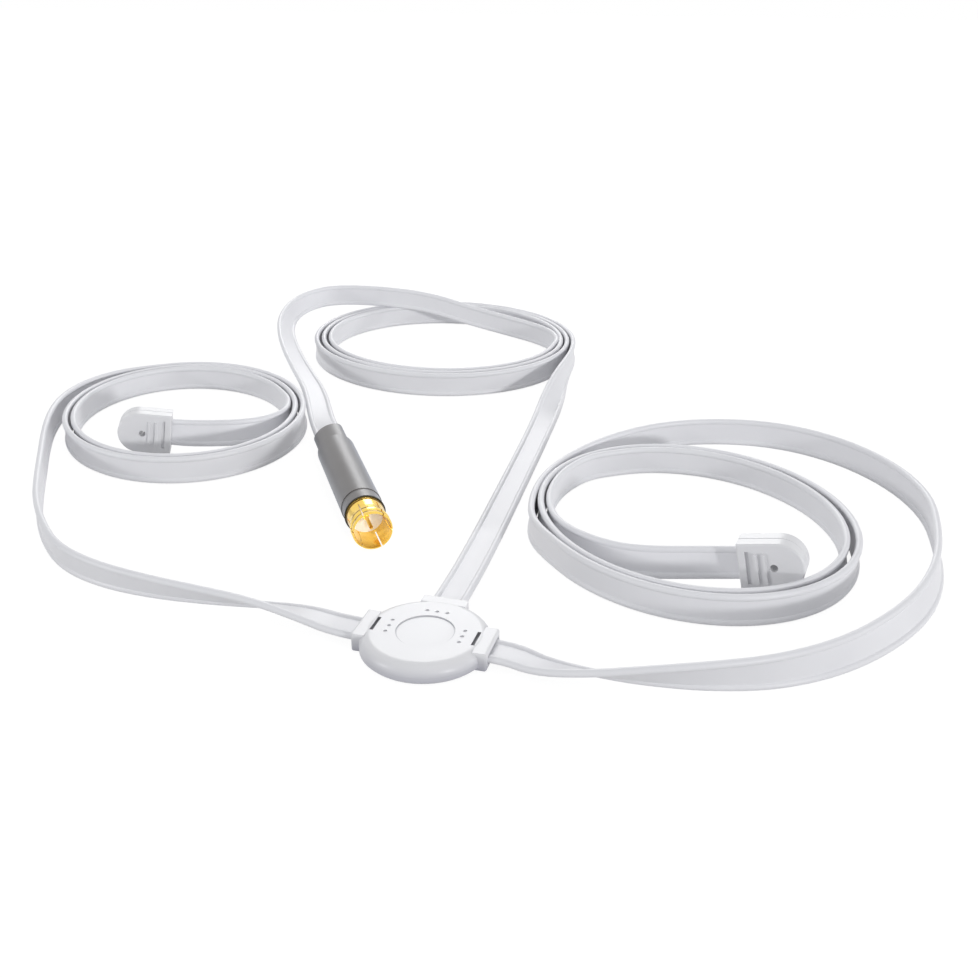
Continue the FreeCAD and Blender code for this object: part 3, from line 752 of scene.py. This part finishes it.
@dataclass(frozen=True)
class Hub:
    """The round hub with its three ribbon exits."""

    exit_reach: float = 15.1
    exit_level: float = 2.2

    def exit(self, x: int, y: int) -> Place:
        """Return where a ribbon leaves the hub, along one of its three ways."""
        return (x * self.exit_reach, y * self.exit_reach, self.exit_level)

    def dress(self, nodes: Nodes, palette: Palette) -> None:
        """Give the hub's nodes their finishes.

        Args:
            nodes: The CAD nodes' objects by name.
            palette: The materials.
        """
        palette.dress_nodes(nodes, {
            "hub_top_shell": Finishes.HUB, "hub_bottom_shell": Finishes.HUB,
            "junction_board": Finishes.BOARD, "solder_joints": Finishes.SOLDER})


@dataclass(frozen=True)
class EndCap:
    """An arm's cap: where it begins on the table, its direction and its free end's rise."""

    side: str
    x: float
    y: float
    turn: float
    rise: float
    grip: float = 6.0
    middle: float = 6.1

    def pieces(self) -> list[str]:
        """Return the names of the cap's nodes."""
        return [self.side + end for end in ("_cap_front", "_cap_rear", "_shorting_link")]

    def point(self, place: float, lean: float) -> RoutePoint:
        """Return the point of the cap's axis at some distance from its entry.

        Args:
            place: The distance into the cap, negative before it.
            lean: The ribbon's lean there.

        Returns:
            The ribbon's control point there.
        """
        turn, rise = math.radians(self.turn), math.radians(self.rise)
        away = place * math.cos(rise) - self.middle * math.sin(rise)
        height = place * math.sin(rise) + self.middle * math.cos(rise)
        return RoutePoint(self.x + away * math.cos(turn), self.y + away * math.sin(turn),
                          height - half_height(lean), lean)

    def way(self, run: float, lean: float) -> list[RoutePoint]:
        """Return the arm's last three points: before the cap, at its entry and inside it.

        Args:
            run: The first point's distance from the cap.
            lean: The ribbon's lean there, from which it turns upright inside the cap.

        Returns:
            The control points.
        """
        return [self.point(-run, lean), self.point(0.0, (lean + UPRIGHT) / 2),
                self.point(self.grip, UPRIGHT)]

    def dress(self, nodes: Nodes, palette: Palette) -> None:
        """Give the cap's nodes their finishes.

        Args:
            nodes: The CAD nodes' objects by name.
            palette: The materials.
        """
        front, rear, link = self.pieces()
        palette.dress_nodes(nodes, {
            front: Finishes.CAP, rear: Finishes.CAP, link: Finishes.SOLDER})


@dataclass(frozen=True)
class Plug:
    """The push-on plug with its grey sleeve, on its side on the table."""

    x: float = PLUG_PLACE[0]
    y: float = PLUG_PLACE[1]
    level: float = PLUG_HEIGHT
    turn: float = PLUG_TURN
    roll: float = 26.0
    grip: float = 10.0
    black_ring: str = "connector_black_ring"
    black_ring_place: float = 57.19
    black_ring_radius: float = 5.2
    black_ring_thick: float = 0.18
    black_ring_steps: int = 96
    black_ring_sides: int = 12

    def pieces(self) -> list[str]:
        """Return the names of all pieces that lie with the plug."""
        return ["connector_sleeve", "connector_shell", "connector_insulator", "centre_pin",
                "balun_core", "balun_winding", "balun_leads", self.black_ring]

    def along(self, place: float) -> Plan:
        """Return the plan point of the plug's axis at some distance from its neck's end."""
        turn = math.radians(self.turn)
        return (self.x + place * math.cos(turn), self.y + place * math.sin(turn))

    def way(self, run: float) -> list[RoutePoint]:
        """Return the feeder's last three points: before the neck, at it and at the end inside.

        Args:
            run: The first point's distance from the neck.

        Returns:
            The control points.
        """
        stops = ((-run, TURNED_OVER), (0.0, TURNED_OVER + self.roll / 2),
                 (self.grip, TURNED_OVER + self.roll))
        return [RoutePoint(*self.along(place), self.level - half_height(lean), lean)
                for place, lean in stops]

    def build_black_ring(self, palette: Palette) -> None:
        """Add the thin black ring between the sleeve's front end and the gold shell.

        Args:
            palette: The materials.
        """
        x, y = self.along(self.black_ring_place)
        bpy.ops.object.select_all(action="DESELECT")
        bpy.ops.mesh.primitive_torus_add(
            major_radius=self.black_ring_radius * MM, minor_radius=self.black_ring_thick * MM,
            major_segments=self.black_ring_steps, minor_segments=self.black_ring_sides,
            location=(x * MM, y * MM, self.level * MM),
            rotation=(0.0, math.radians(QUARTER_TURN), math.radians(self.turn)))
        item = bpy.context.active_object
        item.name = self.black_ring
        bpy.ops.object.transform_apply(location=True, rotation=True, scale=True)
        bpy.ops.object.shade_smooth()
        palette.dress(item, Finishes.BLACK_RING)
        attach(item, ROOT)

    def dress(self, nodes: Nodes, palette: Palette) -> None:
        """Give the plug's nodes their finishes and add its thin black ring.

        Args:
            nodes: The CAD nodes' objects by name.
            palette: The materials.
        """
        palette.dress_nodes(nodes, {
            "connector_sleeve": Finishes.SLEEVE, "connector_shell": Finishes.GOLD,
            "connector_insulator": Finishes.INSULATOR, "centre_pin": Finishes.GOLD,
            "balun_core": Finishes.FERRITE, "balun_winding": Finishes.COPPER,
            "balun_leads": Finishes.COPPER})
        self.build_black_ring(palette)


@dataclass
class Ribbons:
    """The three ribbons: the dipole's two arms and the feeder."""

    hub: Hub
    left_cap: EndCap
    right_cap: EndCap
    plug: Plug
    level: float = 1.33
    grip: float = 8.0
    straight: float = 10.5
    over: float = 8.15

    def start(self, x: int, y: int) -> list[RoutePoint]:
        """Return a ribbon's first two points, along one of the hub's three ways."""
        return [RoutePoint(x * run, y * run, self.level, FLAT)
                for run in (self.grip, self.grip + self.straight)]

    def left(self) -> Ribbon:
        """Lay the left arm.

        Returns:
            The ribbon.
        """
        coil = Coil(centre=(-113.3, 99.3), long=43.9, short=37.3, tilt=-50.0, start=180.0,
                    turns=2.25, way=-1, pitch=2.45)
        lead = self.start(-1, 0) + leaning(
            (-28.5, 2.2, 1.1, 10), (-41, 2.6, 0.1, 38), (-54.5, 1.4, 0, 56), (-68.5, 1.3, 0, 69),
            (-82.5, 3.2, 0, 78), (-95.5, 8.3, 0, 84))
        lead += on_edge(
            (-106.8, 18), (-117, 29.6), (-125.7, 42.6), (-134.4, 56.4), (-143.2, 70.2),
            (-150.9, 83.9), (-156.2, 97.8), (-156.9, 111.5), coil.before(run=14))
        tail = on_edge(coil.after(run=6), (-81.6, 106.5))
        tail += leaning((-83.5, 98.4, 0, 95), (-89.9, 91.4, 0.3, 104))
        tail += self.left_cap.way(run=6.5, lean=108)
        return Ribbon(
            "left_arm", lead, coil, tail, up_side=1, exit=self.hub.exit(-1, 0), far_end="fitting",
            on_it=self.left_cap.pieces(),
            nodes=["left_arm_lead", "left_arm_coil", "left_arm_tail"])

    def right(self) -> Ribbon:
        """Lay the right arm.

        Returns:
            The ribbon.
        """
        coil = Coil(centre=(48.2, 68.6), long=45.2, short=39.5, tilt=-50.6, start=270.0,
                    turns=1.75, way=1, pitch=2.45, drift=(-0.5, 0.0))
        lead = self.start(1, 0) + leaning(
            (25.5, -2.8, 0.4, 8), (37.5, -4, 0.05, 33), (49, -2.9, 0, 58), (61, 0.1, 0, 78),
            (73, 5.1, 0, 95), (85.1, 14.2, 0, 107), (95.1, 27, 0, 116), (102.9, 41.8, 0, 116),
            (107.1, 58.5, 0, 106), (107.7, 76.5, 0, 94), (106.2, 95.4, 0, 86),
            (97.8, 113.6, 0, 81), (83.1, 128.2, 0, 80), (65.2, 135.2, 0, 82),
            (46.2, 133.1, 0, 85), (29.6, 124.5, 0, 88))
        lead += on_edge(
            (17.5, 110.4), (10.1, 95.1), (6.6, 80.8), (6.6, 67.4), coil.before(run=13))
        tail = on_edge(coil.after(run=7), (11.9, 87), (10.2, 77), (11.2, 65))
        tail += leaning((15.9, 53.5, 0, 94), (25, 46, 0.15, 102), (37, 42.2, 0.4, 109))
        tail += self.right_cap.way(run=8, lean=109)
        return Ribbon(
            "right_arm", lead, coil, tail, up_side=-1, exit=self.hub.exit(1, 0), far_end="fitting",
            on_it=self.right_cap.pieces(),
            nodes=["right_arm_lead", "right_arm_coil", "right_arm_tail"])

    def feeder(self) -> Ribbon:
        """Lay the feeder, whose tail climbs over its coil and rolls over into the plug.

        Returns:
            The ribbon.
        """
        coil = Coil(centre=(-58.7, 191.9), long=49.3, short=45.6, tilt=-13.5, start=17.0,
                    turns=3.0, way=1, pitch=2.4, drift=(0.0, 0.5))
        lead = self.start(0, 1) + leaning(
            (-0.6, 32, 0.3, 0), (-1.6, 54, 0, 0), (-3.3, 84, 0, 0), (-4.9, 112, 0, 0),
            (-6.4, 136, 0, 5), (-7.4, 152, 0, 30), (-8.3, 167, 0, 66),
            (*coil.before(run=13), 0, 88))
        over = self.over
        tail = on_edge(coil.after(run=6), (-21, 209))
        tail += leaning(
            (-29.3, 215.2, 0.3, 90), (-42, 219.3, 1.2, 90), (-57, 221.4, 3.3, 90),
            (-73, 221.6, over - 1.1, 90), (-88.5, 221.5, over, 90), (-104.5, 221, over, 90),
            (-115, 216.6, over, 90), (-119.6, 207, over - 0.2, 95), (-120.3, 195.2, 7.4, 108),
            (-117.2, 181.7, 6.6, 132), (-110.4, 168.7, 5.8, 148), (-102.2, 156, 5.2, 156),
            (-92.8, 142.9, 4.6, 161), (-81.6, 127.9, 4, 168))
        tail += self.plug.way(run=12)
        return Ribbon(
            "feeder", lead, coil, tail, up_side=1, exit=self.hub.exit(0, 1), far_end="connector",
            on_it=self.plug.pieces(), nodes=["feeder_lead", "feeder_coil", "feeder_tail"])

    def build(self, palette: Palette) -> None:
        """Build all three ribbons.

        Args:
            palette: The materials.
        """
        for ribbon in (self.left(), self.right(), self.feeder()):
            item = ribbon.build(palette)
            LOG.info("%s: %.3f m, %d faces", item.name, ribbon.length(), len(item.data.polygons))


@dataclass
class Antenna:
    """The whole antenna on its table."""

    hub: Hub = Hub()
    left_cap: EndCap = EndCap("left", x=-109.0, y=82.35, turn=206.0, rise=9.0)
    right_cap: EndCap = EndCap("right", x=63.4, y=46.4, turn=-7.0, rise=12.0)
    plug: Plug = Plug()

    def build(self, nodes: Nodes) -> None:
        """Dress the CAD nodes and build the ribbons.

        Args:
            nodes: The CAD nodes' objects by name.
        """
        palette = Palette()
        for part in (self.hub, self.left_cap, self.right_cap, self.plug):
            part.dress(nodes, palette)
        Ribbons(self.hub, self.left_cap, self.right_cap, self.plug).build(palette)


def shine_from(way: Vector) -> Euler:
    """Return the turn of a lamp that stands along some way and shines back."""
    return way.to_track_quat("Z", "Y").to_euler()


@dataclass(frozen=True)
class Sun:
    """A light from far off, by where it stands as seen from the antenna, in degrees."""

    name: str
    azimuth: float
    elevation: float
    level: float
    softness: float

    def build(self) -> None:
        """Add the light."""
        data = bpy.data.lights.new(self.name, "SUN")
        data.energy = self.level
        data.angle = math.radians(self.softness)
        azimuth, elevation = math.radians(self.azimuth), math.radians(self.elevation)
        reach = math.cos(elevation)
        way = Vector((math.cos(azimuth) * reach, math.sin(azimuth) * reach, math.sin(elevation)))
        put(self.name, data).rotation_euler = shine_from(way)


@dataclass(frozen=True)
class Spot:
    """A narrow light from one place at another, in metres and degrees."""

    name: str
    place: Place
    aim: Place
    level: float
    cone: float
    edge: float
    size: float

    def build(self) -> None:
        """Add the light."""
        data = bpy.data.lights.new(self.name, "SPOT")
        data.energy = self.level
        data.spot_size = math.radians(self.cone)
        data.spot_blend = self.edge
        data.shadow_soft_size = self.size
        item = put(self.name, data)
        item.location = self.place
        item.rotation_euler = shine_from(Vector(self.place) - Vector(self.aim))


@dataclass
class Stage:
    """The white table, the light and the camera, in metres and degrees.

    The low suns left and right throw the short shadows, the one behind is broad, and the spot
    shines into the plug's mouth.
    """

    floor_side: float = 6.0
    floor_drop: float = 0.0003
    floor_color: Color = (0.62, 0.62, 0.62)
    floor_roughness: float = 0.9
    glow_level: float = 1.28
    glow_share: float = 0.72
    sky: Color = (0.97, 0.98, 1.0)
    sky_level: float = 0.545
    lamps: tuple[Sun | Spot, ...] = (
        Sun("left_soft", azimuth=215.0, elevation=12.0, level=0.58, softness=6.0),
        Sun("right_soft", azimuth=325.0, elevation=9.0, level=0.9, softness=5.0),
        Sun("back_soft", azimuth=106.0, elevation=30.0, level=0.8, softness=24.0),
        Sun("right_low", azimuth=15.0, elevation=9.0, level=0.31, softness=6.0),
        Spot("mouth_light", place=(0.045, -0.07, 0.055), aim=(-0.0287, 0.0417, 0.0054),
             level=0.235, cone=7.0, edge=0.6, size=0.006))
    camera_place: Place = (0.0708, -0.1977, 0.1341)
    camera_pitch: float = 65.27
    camera_turn: float = 16.0
    lens: float = 42.33
    sensor: float = 36.0
    clip_start: float = 0.01

    def floor(self) -> None:
        """Add the table top, white to the camera and in reflections, with soft shadows."""
        bpy.ops.object.select_all(action="DESELECT")
        bpy.ops.mesh.primitive_plane_add(size=self.floor_side, location=(0, 0, -self.floor_drop))
        item = bpy.context.active_object
        item.name = "table_top"
        graph = MaterialGraph("table_top")
        graph.fill(graph.shader, {
            "Base Color": opaque(self.floor_color), "Roughness": self.floor_roughness,
            "Specular IOR Level": 0.0})
        glow = graph.add("ShaderNodeEmission")
        graph.fill(glow, {"Color": opaque(WHITE), "Strength": self.glow_level})
        share = graph.seen_white() * self.glow_share
        graph.blend(share, graph.shader, glow, "Material Output")
        item.data.materials.append(graph.material)

    def world(self) -> None:
        """Light everything evenly from a pale sky, white to the camera and in reflections."""
        world = bpy.data.worlds.new("studio")
        bpy.context.scene.world = world
        world.use_nodes = True
        graph = Graph(world.node_tree)
        sky = graph.tree.nodes["Background"]
        graph.fill(sky, {"Color": opaque(self.sky), "Strength": self.sky_level})
        white = graph.add("ShaderNodeBackground")
        graph.fill(white, {"Color": opaque(WHITE), "Strength": 1.0})
        graph.blend(graph.seen_white(), sky, white, "World Output")

    def camera(self) -> None:
        """Place the camera as the photograph was taken."""
        data = bpy.data.cameras.new("camera")
        data.lens = self.lens
        data.sensor_width = self.sensor
        data.clip_start = self.clip_start
        item = put("camera", data)
        item.location = self.camera_place
        item.rotation_euler = (math.radians(self.camera_pitch), 0.0, math.radians(self.camera_turn))
        bpy.context.scene.camera = item

    def build(self) -> None:
        """Build the stage."""
        self.floor()
        self.world()
        for lamp in self.lamps:
            lamp.build()
        self.camera()
        bpy.context.scene.view_settings.view_transform = "Standard"


def main() -> None:
    """Load the CAD part, dress it and set the stage."""
    logging.basicConfig(level=logging.INFO, format="%(name)s: %(message)s")
    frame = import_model()
    Antenna().build(frame["nodes"])
    Stage().build()


if __name__ == "__main__":
    main()
